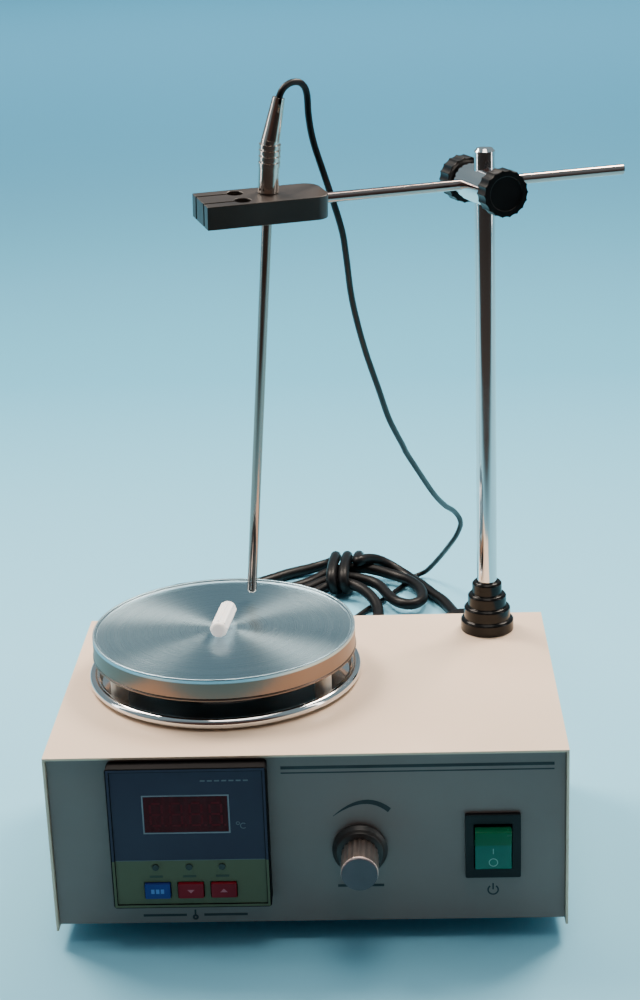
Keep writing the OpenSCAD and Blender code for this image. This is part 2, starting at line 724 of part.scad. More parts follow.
module arm_clamp_knob() color("black") at_clamp() translate([0, rear_thumb_y, 0]) rotate([-90, 0, 0])
    thumb_screw(rear_thumb_t, rear_thumb_y - arm_back - arm_d / 2 - gap);

arm_in_holder = 17.5;

module cross_arm() color("silver") at_arm() {
    length = arm_right - holder_right + arm_in_holder;
    translate([holder_right - arm_in_holder, 0, 0]) rotate([0, 90, 0]) {
        cylinder(h = length - arm_chamfer, d = arm_d);
        translate([0, 0, length - arm_chamfer])
            cylinder(h = arm_chamfer, r1 = arm_d / 2, r2 = arm_d / 2 - arm_chamfer);
    }
}

slit_w = 1.4;
slit_hole_r = 3.75;
slit_hole_x = -119.5;
slit_middle = -2;
slit_off = 6.2;
end_round = 7;
collar_drop = 3.3;

module probe_holder() color("darkslategray") at_holder() difference() {
    union() {
        translate([0, 0, holder_low]) linear_extrude(holder_high - holder_low) holder_outline();
        translate([-probe_reach, 0, 0]) rotate([0, probe_lean, 0])
            translate([0, 0, holder_low - collar_drop]) cylinder(h = collar_drop + 1, r = 3.2);
    }
    for (side = [-1, 1]) translate([0, slit_middle + side * slit_off, holder_low - 1]) {
        translate([holder_left - 1, -slit_w / 2, 0]) cube([slit_hole_x - holder_left + 1, slit_w, 20]);
        translate([slit_hole_x, 0, 0]) cylinder(h = 20, r = slit_hole_r);
    }
    translate([holder_right + 1, 0, 0]) rotate([0, -90, 0]) cylinder(h = arm_in_holder + 2, r = arm_d / 2 + fit);
    translate([-probe_reach, 0, 0]) rotate([0, probe_lean, 0])
        translate([0, 0, -20]) cylinder(h = 40, r = tube_d / 2 + fit);
}

module holder_outline() {
    translate([holder_left, holder_front]) square([holder_right - end_round - holder_left, holder_back - holder_front]);
    translate([holder_left + 1, holder_front + end_round])
        square([holder_right - holder_left - 1, holder_back - holder_front - 2 * end_round]);
    for (y = [holder_front + end_round, holder_back - end_round])
        translate([holder_right - end_round, y]) circle(end_round);
}

module probe_tube() color("silver") at_probe() {
    translate([0, 0, -tube_drop + tube_d / 2]) {
        cylinder(h = tube_drop + holder_high, d = tube_d);
        sphere(d = tube_d);
    }
}

relief_bend = 9;
relief_l = 20.5;
sleeve_low = holder_high + gap + 0.1;

module probe_sleeve() color("silver") at_probe() {
    translate([0, 0, sleeve_low]) difference() {
        cylinder(h = 12, r = sleeve_r - 0.2);
        translate([0, 0, -1]) cylinder(h = 4, d = tube_d);
    }
    for (i = [0 : 3]) translate([0, 0, sleeve_low + 12 + i * 2.8]) {
        cylinder(h = 1.9, r = sleeve_r + 0.1);
        translate([0, 0, 1.9]) cylinder(h = 0.9, r = sleeve_r - 0.7);
    }
    translate([0, 0, sleeve_top]) rotate([0, relief_bend, 0]) difference() {
        union() {
            translate([0, 0, -1]) cylinder(h = 2, r = sleeve_r - 0.6);
            cylinder(h = relief_l, r1 = sleeve_r - 0.6, r2 = 2.9);
        }
        translate([0, 0, relief_l - 6]) cylinder(h = 10, r = sensor_r + 0.1);
        translate([0, 0, relief_l / 2 + 4]) block(1.2, 20, relief_l);
    }
}

// Cords and what is on them

module sensor_cable_top() color("black") at_housing() swept(top_route, sensor_r, 8, 1);

module sensor_cable_drop() color("black") at_housing() swept(drop_route, sensor_r, 8, 2);

module sensor_cable_lead() color("black") at_housing() swept(lead_route, sensor_r, 8, 1);

module sensor_plug() color("black") on_rear(socket_x, socket_z) {
    translate([0, 0, 8]) cylinder(h = 14, r = 6.4);
    translate([0, 0, 22]) cylinder(h = plug_reach - 22, r1 = 4.6, r2 = 2.2);
}

module cord_gland() color("black") on_rear(gland_x, gland_z) {
    translate([0, 0, -8]) cylinder(h = 9, r = 5.9);
    cylinder(h = 3, r = 9);
    translate([0, 0, 2]) cylinder(h = gland_l - 4, r1 = 7, r2 = cord_r + 0.9);
}

module power_cord() color("black") at_housing() {
    swept(power_route, cord_r, 10, 1);
    swept(tail_route, cord_r, 10, 2);
}

module cord_hank() color("black") at_housing() translate(hank_at) rotate([0, 0, hank_turn])
    linear_extrude(hank_h) {
        square([hank_l - hank_w, hank_w], center = true);
        for (x = [-1, 1]) translate([x * (hank_l - hank_w) / 2, 0]) circle(hank_w / 2);
    }

plug_r = 18.5;
plug_grip_l = 16;
plug_body_l = 22;
pin_spacing = 19;
pin_l = 19;

// Round plug with two pins, its axis along the end of the lead's route
module mains_plug() color("black") at_housing() translate(tail_route[len(tail_route) - 1]) rotate([90, 0, 0]) {
    difference() {
        cylinder(h = plug_grip_l + 1, r1 = 5, r2 = 9);
        translate([0, 0, -1]) cylinder(h = 2, r = cord_r);
    }
    translate([0, 0, plug_grip_l]) cylinder(h = 6, r1 = 13, r2 = plug_r);
    translate([0, 0, plug_grip_l + 6]) cylinder(h = plug_body_l - 6, r = plug_r);
    for (x = [-1, 1]) translate([x * pin_spacing / 2, 0, plug_grip_l + plug_body_l - 1])
        cylinder(h = pin_l + 1, r = 2.4);
}

housing_cover();
chassis_tray();
front_overlay();
rubber_feet();
case_screws();
hot_plate();
heater_element();
insulation_pad();
heater_backing();
plate_standoffs();
plate_screws();
drip_ring();
motor_bracket();
motor_body();
motor_bearings();
motor_screws();
motor_shaft();
magnet_carrier();
drive_magnets();
stir_bar();
stir_magnet();
controller_case();
controller_bezel();
controller_faceplate();
display_window();
digit_module();
indicator_leds();
controller_board();
controller_clamp();
set_button();
down_button();
up_button();
potentiometer();
pot_shaft();
speed_knob();
knob_cap();
switch_frame();
switch_rocker();
speed_board();
transformer();
fuse_holder();
sensor_socket();
rod_socket();
rod_boot();
support_rod();
clamp_body();
rod_clamp_knob();
arm_clamp_knob();
cross_arm();
probe_holder();
probe_tube();
probe_sleeve();
sensor_plug();
sensor_cable_top();
sensor_cable_drop();
sensor_cable_lead();
cord_gland();
power_cord();
cord_hank();
mains_plug();
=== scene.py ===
"""Looks of the heated magnetic stirrer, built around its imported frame."""

import json
import math

import bmesh
import bpy
from mathutils import Matrix, Vector
from mathutils.bvhtree import BVHTree


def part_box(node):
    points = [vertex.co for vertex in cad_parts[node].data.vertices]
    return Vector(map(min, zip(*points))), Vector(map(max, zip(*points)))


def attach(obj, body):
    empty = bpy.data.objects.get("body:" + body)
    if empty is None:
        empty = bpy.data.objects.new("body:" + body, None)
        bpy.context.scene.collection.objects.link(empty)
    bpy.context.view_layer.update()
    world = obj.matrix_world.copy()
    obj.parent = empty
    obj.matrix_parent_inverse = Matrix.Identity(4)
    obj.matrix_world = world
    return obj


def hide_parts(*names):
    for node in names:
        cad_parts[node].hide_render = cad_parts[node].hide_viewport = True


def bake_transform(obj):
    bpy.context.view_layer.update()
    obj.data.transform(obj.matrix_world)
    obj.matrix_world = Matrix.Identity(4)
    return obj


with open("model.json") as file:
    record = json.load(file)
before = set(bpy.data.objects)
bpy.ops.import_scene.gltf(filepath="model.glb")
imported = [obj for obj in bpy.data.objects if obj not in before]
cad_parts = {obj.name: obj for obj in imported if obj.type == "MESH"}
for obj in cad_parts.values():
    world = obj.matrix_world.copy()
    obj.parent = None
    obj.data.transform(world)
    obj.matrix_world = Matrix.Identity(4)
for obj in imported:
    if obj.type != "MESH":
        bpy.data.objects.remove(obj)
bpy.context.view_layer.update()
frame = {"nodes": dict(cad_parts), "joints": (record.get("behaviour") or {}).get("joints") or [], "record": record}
MM = 0.001
BODY_OF = {n: b for b, ns in frame["record"]["behaviour"]["bodies"].items() for n in ns}
SLOT_OF = {s["node"]: s["material_slot"] for s in frame["record"]["subparts"]}
JOINTS = {j["name"]: j for j in frame["joints"]}

# Reference places: the first taken from the frame, the last given in millimetres
COVER_LOW, COVER_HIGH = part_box("housing_cover")
MIDDLE = Vector(((COVER_LOW.x + COVER_HIGH.x) / 2, (COVER_LOW.y + COVER_HIGH.y) / 2, 0))
PANEL_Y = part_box("front_overlay")[0].y
FACE_LOW, FACE_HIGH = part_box("controller_faceplate")
PLATE_AXIS = Vector(JOINTS["rotor_spin"]["pos_m"])
PLATE_EDGE = (118.6 * MM, 119.2 * MM)          # heights between which the plate's wall, coloured as painted shade, turns into its face, tinted as a painted reflection
ROCKER_FOLD = (49.2 * MM, 50.2 * MM)           # heights between the rocker's two halves, which differ by painted reflection and painted shade
COVER_TOP = 96                                 # millimetres above the table


def at(x, y, z):
    """A point given in millimetres from the middle of the housing, on the table."""
    return MIDDLE + Vector((x, y, z)) * MM


# ---------------------------------------------------------------- camera, floor and light

CAMERA_AT = at(41.9, -852, 481.1)
CAMERA_YAW, CAMERA_PITCH, CAMERA_ROLL = -2.289, 18.982, -2.037
CAMERA_LENS = 69.42
ROOM_STRENGTH = 0.36
ROOM_PALE = (0.62, 0.82, 0.9)
ROOM_DARK = (0.18, 0.105, 0.09)
REFLECTED_HALF = 15                  # metres from the middle of the reflected floor to its edge
REFLECTED_DROP = 0.0003              # how far it lies under the seen floor
REFLECTED_TINTS = (0.18, 0.44, 0.57), (0.15, 0.5, 0.68), (0.2, 2.0)
REFLECTED_FADE = (-0.26, -0.52)      # it fades to a dark room in front of the object
REFLECTED_DARK = (0.03, 0.024, 0.022)
PAPER_TINTS = (0.23, 0.58, 0.77), (0.1, 0.41, 0.6), (0.25, 0.9)
PAPER_GLOW = (0.42, 0.6, 0.68)
PAPER_GLOW_RANGE = (0.3, 0, -5.0, -1.0)
COVE_FLAT, COVE_BEND, COVE_TOP = 6.0, 2.0, 9.0          # the seen floor is flat, bends up, and ends at a height
COVE_SIDES = 96


def make_camera():
    yaw, pitch, roll = (math.radians(a) for a in (CAMERA_YAW, CAMERA_PITCH, CAMERA_ROLL))
    ahead = Vector((math.sin(yaw) * math.cos(pitch), math.cos(yaw) * math.cos(pitch), -math.sin(pitch)))
    level = Vector((math.cos(yaw), -math.sin(yaw), 0))
    above = level.cross(ahead)
    right = level * math.cos(roll) + above * math.sin(roll)
    up = above * math.cos(roll) - level * math.sin(roll)
    data = bpy.data.cameras.new("camera")
    data.lens = CAMERA_LENS
    data.sensor_width = 36
    data.clip_start, data.clip_end = 0.01, 60
    camera = bpy.data.objects.new("camera", data)
    bpy.context.scene.collection.objects.link(camera)
    turn = Matrix((right, up, -ahead)).transposed().to_4x4()
    camera.matrix_world = Matrix.Translation(CAMERA_AT) @ turn
    bpy.context.scene.camera = camera


def area_light(name, place, target, size, power, colour):
    data = bpy.data.lights.new(name, "AREA")
    data.shape = "RECTANGLE"
    data.size, data.size_y = size
    data.energy = power
    data.color = colour
    light = bpy.data.objects.new(name, data)
    bpy.context.scene.collection.objects.link(light)
    light.location = place
    light.rotation_mode = "QUATERNION"
    light.rotation_quaternion = (Vector(target) - Vector(place)).to_track_quat("-Z", "Y")
    return light


def make_lights():
    area_light("back_left", (-0.75, 0.62, 1.35), (-0.04, 0, 0.1), (0.5, 0.5), 32, (1.0, 0.87, 0.74))
    area_light("back_right", (0.62, 0.72, 1.35), (-0.04, 0, 0.1), (0.5, 0.5), 30, (1.0, 0.87, 0.74))
    area_light("overhead", (0.1, 0.0, 1.8), (0, 0, 0.1), (1.2, 0.8), 14, (1.0, 0.9, 0.8))
    far = area_light("far_floor", (0, 4.2, 3.4), (0, 4.8, 0), (6, 4), 260, (0.9, 0.97, 1.0))
    far.visible_glossy = False
    area_light("left_strip", (-1.3, 0.1, 0.6), (0, 0, 0.2), (0.16, 1.2), 3.5, (1.0, 0.96, 0.92))
    area_light("right_strip", (1.35, -0.15, 0.6), (0, 0, 0.2), (0.16, 1.2), 3.5, (1.0, 0.94, 0.88))


def make_world():
    """A pale room that is darker in front of the object."""
    world = bpy.data.worlds.new("room")
    bpy.context.scene.world = world
    world.use_nodes = True
    nodes, links = world.node_tree.nodes, world.node_tree.links
    background = nodes["Background"]
    background.inputs["Strength"].default_value = ROOM_STRENGTH
    where = nodes.new("ShaderNodeTexCoord")
    split = nodes.new("ShaderNodeSeparateXYZ")
    links.new(where.outputs["Generated"], split.inputs[0])
    front = nodes.new("ShaderNodeMapRange")
    front.interpolation_type = "SMOOTHSTEP"
    front.inputs["From Min"].default_value = -0.35
    front.inputs["From Max"].default_value = -0.85
    links.new(split.outputs["Y"], front.inputs["Value"])
    mix = nodes.new("ShaderNodeMix")
    mix.data_type = "RGBA"
    mix.inputs["A"].default_value = (*ROOM_PALE, 1)
    mix.inputs["B"].default_value = (*ROOM_DARK, 1)
    links.new(front.outputs["Result"], mix.inputs["Factor"])
    links.new(mix.outputs["Result"], background.inputs["Color"])


# ---------------------------------------------------------------- materials

def new_material(name, colour, roughness, metallic=0.0, **sockets):
    """A principled material; sockets are set by name with spaces as underscores."""
    made = bpy.data.materials.new(name)
    made.use_nodes = True
    shader = made.node_tree.nodes["Principled BSDF"]
    shader.inputs["Base Color"].default_value = (*colour, 1)
    shader.inputs["Roughness"].default_value = roughness
    shader.inputs["Metallic"].default_value = metallic
    for key, value in sockets.items():
        shader.inputs[key.replace("_", " ")].default_value = value
    return made


def node_of(made, kind, **inputs):
    node = made.node_tree.nodes.new(kind)
    for key, value in inputs.items():
        node.inputs[key.replace("_", " ")].default_value = value
    return node


def link(made, a, b):
    made.node_tree.links.new(a, b)


def shader_of(made):
    return made.node_tree.nodes["Principled BSDF"]


def place_of(made):
    return node_of(made, "ShaderNodeTexCoord").outputs["Object"]


def axis_of(made, axis):
    """One coordinate of the place being shaded, in the frame's metres."""
    split = node_of(made, "ShaderNodeSeparateXYZ")
    link(made, place_of(made), split.inputs[0])
    return split.outputs[axis]


def noise(made, scale, detail=3.0, stretch=None):
    """Noise in the frame's metres: scale is in cells to the metre."""
    texture = node_of(made, "ShaderNodeTexNoise", Scale=scale, Detail=detail)
    source = place_of(made)
    if stretch:
        mapping = node_of(made, "ShaderNodeMapping", Scale=stretch)
        link(made, source, mapping.inputs["Vector"])
        source = mapping.outputs["Vector"]
    link(made, source, texture.inputs["Vector"])
    return texture.outputs["Fac"]


def bumped(made, height, depth_mm, strength=1.0):
    bump = node_of(made, "ShaderNodeBump", Strength=strength, Distance=depth_mm * MM)
    link(made, height, bump.inputs["Height"])
    link(made, bump.outputs["Normal"], shader_of(made).inputs["Normal"])
    return made


def ranged(made, value, low, high, from_low=0.35, from_high=0.65):
    ramp = node_of(made, "ShaderNodeMapRange")
    ramp.inputs["From Min"].default_value = from_low
    ramp.inputs["From Max"].default_value = from_high
    ramp.inputs["To Min"].default_value = low
    ramp.inputs["To Max"].default_value = high
    link(made, value, ramp.inputs["Value"])
    return ramp.outputs["Result"]


def smudged(made, low, high, scale=22):
    """Roughness that wanders between two values, as handled surfaces do."""
    link(made, ranged(made, noise(made, scale, 5), low, high), shader_of(made).inputs["Roughness"])
    return made


def tinted(made, first, second, value, low=0.35, high=0.65):
    """Base colour that goes from first to second with a value."""
    mix = node_of(made, "ShaderNodeMix")
    mix.data_type = "RGBA"
    mix.inputs["A"].default_value = (*first, 1)
    mix.inputs["B"].default_value = (*second, 1)
    link(made, ranged(made, value, 0, 1, low, high), mix.inputs["Factor"])
    link(made, mix.outputs["Result"], shader_of(made).inputs["Base Color"])
    return mix


def cover_paint():
    made = new_material("cover_paint", (0.82, 0.66, 0.53), 0.42, Coat_Weight=0.25, Coat_Roughness=0.16)
    tinted(made, (0.85, 0.64, 0.475), (0.88, 0.68, 0.51), noise(made, 9, 4))
    smudged(made, 0.34, 0.5, 14)
    return bumped(made, noise(made, 900, 2), 0.05, 0.35)


def panel_film():
    # Painted shade: the film is a grey coloured darker than the real light grey film, so it carries part of the shade
    # on the front panel.
    made = new_material("panel_film", (0.3, 0.36, 0.35), 0.4)
    tinted(made, (0.235, 0.18, 0.168), (0.265, 0.205, 0.19), noise(made, 14, 4))
    smudged(made, 0.36, 0.5, 18)
    return bumped(made, noise(made, 1500, 2), 0.02, 0.3)


def zinc():
    made = new_material("zinc", (0.56, 0.57, 0.58), 0.38, 1.0)
    tinted(made, (0.5, 0.51, 0.52), (0.64, 0.64, 0.65), noise(made, 160, 2))
    return smudged(made, 0.3, 0.48, 60)


def turned_steel():
    """Lathe-turned steel: fine rings about the plate's axis, with a sheen that fans out from it."""
    made = new_material("turned_steel", (0.62, 0.65, 0.67), 0.3, 1.0, Anisotropic=0.84)
    tangent = node_of(made, "ShaderNodeTangent")
    tangent.direction_type = "RADIAL"
    tangent.axis = "Z"
    link(made, tangent.outputs["Tangent"], shader_of(made).inputs["Tangent"])
    offset = node_of(made, "ShaderNodeVectorMath")
    offset.operation = "SUBTRACT"
    offset.inputs[1].default_value = (PLATE_AXIS.x, PLATE_AXIS.y, 0)
    link(made, place_of(made), offset.inputs[0])
    flat = node_of(made, "ShaderNodeVectorMath")
    flat.operation = "MULTIPLY"
    flat.inputs[1].default_value = (1, 1, 0)
    link(made, offset.outputs["Vector"], flat.inputs[0])
    radius = node_of(made, "ShaderNodeVectorMath")
    radius.operation = "LENGTH"
    link(made, flat.outputs["Vector"], radius.inputs[0])
    rings = node_of(made, "ShaderNodeTexNoise", Scale=2600, Detail=2)
    rings.noise_dimensions = "1D"
    link(made, radius.outputs["Value"], rings.inputs["W"])
    broad = node_of(made, "ShaderNodeTexNoise", Scale=260, Detail=1)
    broad.noise_dimensions = "1D"
    link(made, radius.outputs["Value"], broad.inputs["W"])
    # Painted light in the colour: the face is tinted blue, a painted reflection of the blue surroundings, and the wall
    # below PLATE_EDGE is a dark warm brown, painted shade on the plate's side wall.
    face = tinted(made, (0.37, 0.53, 0.61), (0.4, 0.56, 0.64), broad.outputs["Fac"])
    wall = node_of(made, "ShaderNodeMix")
    wall.data_type = "RGBA"
    wall.inputs["A"].default_value = (0.21, 0.15, 0.12, 1)
    link(made, ranged(made, axis_of(made, "Z"), 0, 1, *PLATE_EDGE), wall.inputs["Factor"])
    link(made, face.outputs["Result"], wall.inputs["B"])
    link(made, wall.outputs["Result"], shader_of(made).inputs["Base Color"])
    link(made, ranged(made, rings.outputs["Fac"], 0.27, 0.3), shader_of(made).inputs["Roughness"])
    return bumped(made, rings.outputs["Fac"], 0.002, 0.1)


def chrome(name="chrome", colour=(0.8, 0.8, 0.81), low=0.05, high=0.14):
    made = new_material(name, colour, low, 1.0)
    return smudged(made, low, high, 30)


def worn_nickel():
    made = chrome("worn_nickel", (0.72, 0.64, 0.57), 0.1, 0.24)
    tinted(made, (0.66, 0.57, 0.5), (0.78, 0.71, 0.64), noise(made, 60, 4))
    return made


def probe_steel():
    # Painted reflection: the dark brownish base colour stands for the dark room reflected in the tube, beyond the
    # steel's own colour.
    made = chrome("probe_steel", (0.36, 0.28, 0.25), 0.1, 0.2)
    return bumped(made, noise(made, 900, 2, (1, 1, 0.02)), 0.01, 0.4)


def moulded(name, colour, roughness, depth_mm=0.03, grain=700, coat=0.0, specular=0.5):
    """Injection-moulded plastic with a fine texture and a slightly uneven sheen."""
    made = new_material(name, colour, roughness, Coat_Weight=coat, Coat_Roughness=0.12, Specular_IOR_Level=specular)
    lighter = tuple(min(1, c * 1.3 + 0.001) for c in colour)
    tinted(made, colour, lighter, noise(made, 40, 4))
    smudged(made, roughness * 0.85, min(1, roughness * 1.2), 35)
    return bumped(made, noise(made, grain, 3), depth_mm, 0.4)


def cord_sheath():
    made = moulded("cord_sheath", (0.003, 0.0028, 0.0035), 0.38, 0.02, 900)
    shader_of(made).inputs["Specular IOR Level"].default_value = 0.24
    return made


def ptfe():
    # Painted glow: the emission brightens the bar's side that lies in shade, standing in for light passing through the
    # white plastic; the bar is no lamp.
    made = new_material("ptfe", (0.95, 0.93, 0.91), 0.38, Subsurface_Weight=0.2,
                        Subsurface_Scale=0.001, Emission_Color=(1.0, 0.88, 0.82, 1), Emission_Strength=0.45)
    shader_of(made).inputs["Subsurface Radius"].default_value = (1.0, 0.8, 0.7)
    tinted(made, (0.95, 0.93, 0.91), (0.98, 0.97, 0.95), noise(made, 150, 4))
    return bumped(made, noise(made, 1200, 3), 0.03, 0.35)


def ceramic():
    made = new_material("ceramic", (0.84, 0.78, 0.68), 0.6)
    tinted(made, (0.78, 0.7, 0.6), (0.88, 0.83, 0.75), noise(made, 300, 3))
    return bumped(made, noise(made, 1400, 3), 0.03, 0.5)


def face_film(split_z):
    """Printed film: navy above, green below, with a fine speckle."""
    made = new_material("face_film", (0.03, 0.04, 0.07), 0.45, Specular_IOR_Level=0.25)
    tinted(made, (0.12, 0.13, 0.075), (0.04, 0.035, 0.066), axis_of(made, "Z"),
           split_z - 0.05 * MM, split_z + 0.05 * MM)
    smudged(made, 0.38, 0.5, 40)
    return bumped(made, noise(made, 2500, 2), 0.003, 0.2)


def window_red():
    made = new_material("window_red", (0.055, 0.006, 0.01), 0.25, Specular_IOR_Level=0.12)
    tinted(made, (0.05, 0.002, 0.004), (0.1, 0.003, 0.007), noise(made, 420, 3, (1, 1, 0.08)), 0.3, 0.7)
    return smudged(made, 0.16, 0.3, 50)


def rocker_green():
    made = new_material("rocker_green", (0.003, 0.14, 0.075), 0.25, Subsurface_Weight=0.2,
                        Subsurface_Scale=0.002, Specular_IOR_Level=0.25)
    shader_of(made).inputs["Subsurface Radius"].default_value = (0.1, 1.0, 0.6)
    # Painted light: the lower half is a bluer teal, a painted reflection of the blue table in front, and the upper
    # half a darker green, painted shade on the half that faces down.
    tinted(made, (0.001, 0.17, 0.125), (0.002, 0.14, 0.06), axis_of(made, "Z"), *ROCKER_FOLD)
    smudged(made, 0.16, 0.3, 60)
    return bumped(made, noise(made, 800, 3), 0.01, 0.3)


def fluted_metal():
    made = new_material("fluted_metal", (0.5, 0.38, 0.34), 0.32, 1.0)
    tinted(made, (0.62, 0.47, 0.42), (0.75, 0.6, 0.54), noise(made, 120, 4))
    smudged(made, 0.26, 0.42, 70)
    return bumped(made, noise(made, 1600, 3), 0.01, 0.4)


def circuit_board():
    made = new_material("circuit_board", (0.02, 0.14, 0.06), 0.35)
    tinted(made, (0.015, 0.11, 0.05), (0.03, 0.18, 0.08), noise(made, 500, 3))
    return made


def build_materials():
    split_z = (FACE_LOW.z + FACE_HIGH.z) / 2 - 11 * MM
    return {
        "cover_paint": cover_paint(),
        "panel_film": panel_film(),
        "chassis_steel": zinc(),
        "screw_zinc": chrome("screw_zinc", (0.66, 0.65, 0.62), 0.18, 0.32),
        "foot_rubber": moulded("foot_rubber", (0.02, 0.02, 0.021), 0.7, 0.08, 500),
        "plate_steel": turned_steel(),
        "mica": moulded("mica", (0.45, 0.33, 0.16), 0.6),
        "insulation": ceramic(),
        "white_ceramic": ceramic(),
        "bright_chrome": chrome(),
        # Painted reflection: chrome with a dark brownish base that stands for the dark room reflected in the cross
        # arm.
        "painted_reflection_chrome": chrome("painted_reflection_chrome", (0.5, 0.39, 0.36)),
        # Painted shade: a near black standing for the shade inside the dish under the plate.
        "painted_shade_well": moulded("painted_shade_well", (0.03, 0.022, 0.02), 0.45),
        "motor_paint": moulded("motor_paint", (0.05, 0.05, 0.055), 0.4),
        "magnet_nickel": chrome("magnet_nickel", (0.6, 0.6, 0.62), 0.12, 0.2),
        "ptfe": ptfe(),
        "bezel_plastic": moulded("bezel_plastic", (0.005, 0.0045, 0.005), 0.6, specular=0.08),
        "face_film": face_film(split_z),
        "window_red": window_red(),
        "led_plastic": moulded("led_plastic", (0.006, 0.009, 0.006), 0.3, 0.005, 300),
        "segment_grey": moulded("segment_grey", (0.3, 0.16, 0.16), 0.5),
        "board_green": circuit_board(),
        "key_blue": moulded("key_blue", (0.018, 0.032, 0.18), 0.45, 0.01, 1200, specular=0.25),
        "key_red": moulded("key_red", (0.18, 0.003, 0.012), 0.45, 0.01, 1200, specular=0.2),
        "pot_metal": zinc(),
        "knob_metal": fluted_metal(),
        "knob_insert": moulded("knob_insert", (0.08, 0.065, 0.08), 0.42, 0.005, 1500),
        "knob_skirt": moulded("knob_skirt", (0.022, 0.018, 0.017), 0.42, 0.01, 600),
        "switch_black": moulded("switch_black", (0.003, 0.003, 0.004), 0.34, 0.01, 700, specular=0.25),
        "rocker_green": rocker_green(),
        "segment_red": moulded("segment_red", (0.11, 0.004, 0.009), 0.4, 0.002, 900, specular=0.12),
        "iron_core": moulded("iron_core", (0.1, 0.07, 0.05), 0.6),
        "black_plastic": moulded("black_plastic", (0.003, 0.0026, 0.003), 0.4, 0.02, 600, specular=0.2),
        "boot_rubber": moulded("boot_rubber", (0.002, 0.0015, 0.0015), 0.2, 0.004, 400, specular=0.25),
        "cord_pvc": cord_sheath(),
        "holder_resin": moulded("holder_resin", (0.022, 0.015, 0.012), 0.36, 0.03, 500, 0.1),
        "probe_steel": probe_steel(),
        "nickel": worn_nickel(),
        "print_dark": moulded("print_dark", (0.014, 0.018, 0.022), 0.5, 0.005),
        "print_pale": moulded("print_pale", (0.2, 0.2, 0.23), 0.45, 0.005),
        "print_mint": moulded("print_mint", (0.2, 0.5, 0.42), 0.45, 0.005),
        "print_dim": moulded("print_dim", (0.11, 0.125, 0.155), 0.5, 0.005),
        "print_moss": moulded("print_moss", (0.03, 0.045, 0.03), 0.5, 0.005),
        "print_sky": moulded("print_sky", (0.08, 0.2, 0.5), 0.45, 0.005),
        "print_rose": moulded("print_rose", (0.4, 0.1, 0.13), 0.45, 0.005),
    }


# ---------------------------------------------------------------- shapes

def mesh_piece(name, bm, material, body, smooth=True):
    """Makes an object of a bmesh, in the frame's own coordinates, riding on a body."""
    mesh = bpy.data.meshes.new(name)
    bmesh.ops.recalc_face_normals(bm, faces=bm.faces[:])
    bm.to_mesh(mesh)
    bm.free()
    if smooth:
        mesh.shade_smooth()
    mesh.materials.append(MATERIALS[material])
    piece = bpy.data.objects.new(name, mesh)
    bpy.context.scene.collection.objects.link(piece)
    if body:
        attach(piece, body)
    return piece


def add_bevel(piece, width_mm, segments=2, angle=30):
    bevel = piece.modifiers.new("bevel", "BEVEL")
    bevel.width = width_mm * MM
    bevel.segments = segments
    bevel.limit_method = "ANGLE"
    bevel.angle_limit = math.radians(angle)
    bevel.harden_normals = True
    bevel.use_clamp_overlap = True
    return piece


def refined(node, width_mm, segments=2, material=None, angle=30):
    """A CAD node's own shape with its edges rounded, standing for the node."""
    bm = bmesh.new()
    bm.from_mesh(frame["nodes"][node].data)
    bm.transform(frame["nodes"][node].matrix_world)
    bmesh.ops.remove_doubles(bm, verts=bm.verts[:], dist=2e-6)
    bmesh.ops.dissolve_limit(bm, angle_limit=math.radians(0.4), verts=bm.verts[:], edges=bm.edges[:])
    piece = mesh_piece(node + "_finished", bm, material or SLOT_OF[node], BODY_OF[node])
    kept = piece.data.attributes.get("custom_normal")
    if kept:
        piece.data.attributes.remove(kept)
    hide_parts(node)
    return add_bevel(piece, width_mm, segments, angle)


class Surface:
    """The front of a CAD node, onto which marks are laid."""

    def __init__(self, node):
        mesh = frame["nodes"][node].data
        turn = frame["nodes"][node].matrix_world
        self.tree = BVHTree.FromPolygons([turn @ v.co for v in mesh.vertices],
                                         [tuple(p.vertices) for p in mesh.polygons])
        self.node = node

    def front(self, x, z):
        """The point of the surface in front of a place given in housing millimetres."""
        start = at(x, -200, z)
        hit = self.tree.ray_cast(start, Vector((0, 1, 0)))[0]
        if hit is None:
            raise ValueError(f"no surface of {self.node} at {x:.1f}, {z:.1f}")
        return hit


def printed(name, surface, strips, material, thick_mm=0.06):
    """Marks lying on a surface; each strip is two rows of points with a filled band between them."""
    bm = bmesh.new()
    for first, second in strips:
        closed = first[0] == first[-1]
        count = len(first) - 1 if closed else len(first)
        layers = []
        for lift in (thick_mm, -0.02):
            layers.append([[bm.verts.new(surface.front(x, z) + Vector((0, -lift * MM, 0)))
                            for x, z in row[:count]] for row in (first, second)])
        (top_a, top_b), (low_a, low_b) = layers
        spans = [(i, (i + 1) % count) for i in range(count if closed else count - 1)]
        for i, k in spans:
            bm.faces.new((top_a[i], top_a[k], top_b[k], top_b[i]))
            bm.faces.new((low_a[i], low_b[i], low_b[k], low_a[k]))
            bm.faces.new((top_a[i], low_a[i], low_a[k], top_a[k]))
            bm.faces.new((top_b[i], top_b[k], low_b[k], low_b[i]))
        if not closed:
            for i in (0, -1):
                bm.faces.new((top_a[i], top_b[i], low_b[i], low_a[i]))
    return mesh_piece(name, bm, material, BODY_OF[surface.node], smooth=False)


def bar(x, z, w, h):
    """A filled rectangle centred on a place."""
    return [(x - w / 2, z + h / 2), (x + w / 2, z + h / 2)], [(x - w / 2, z - h / 2), (x + w / 2, z - h / 2)]


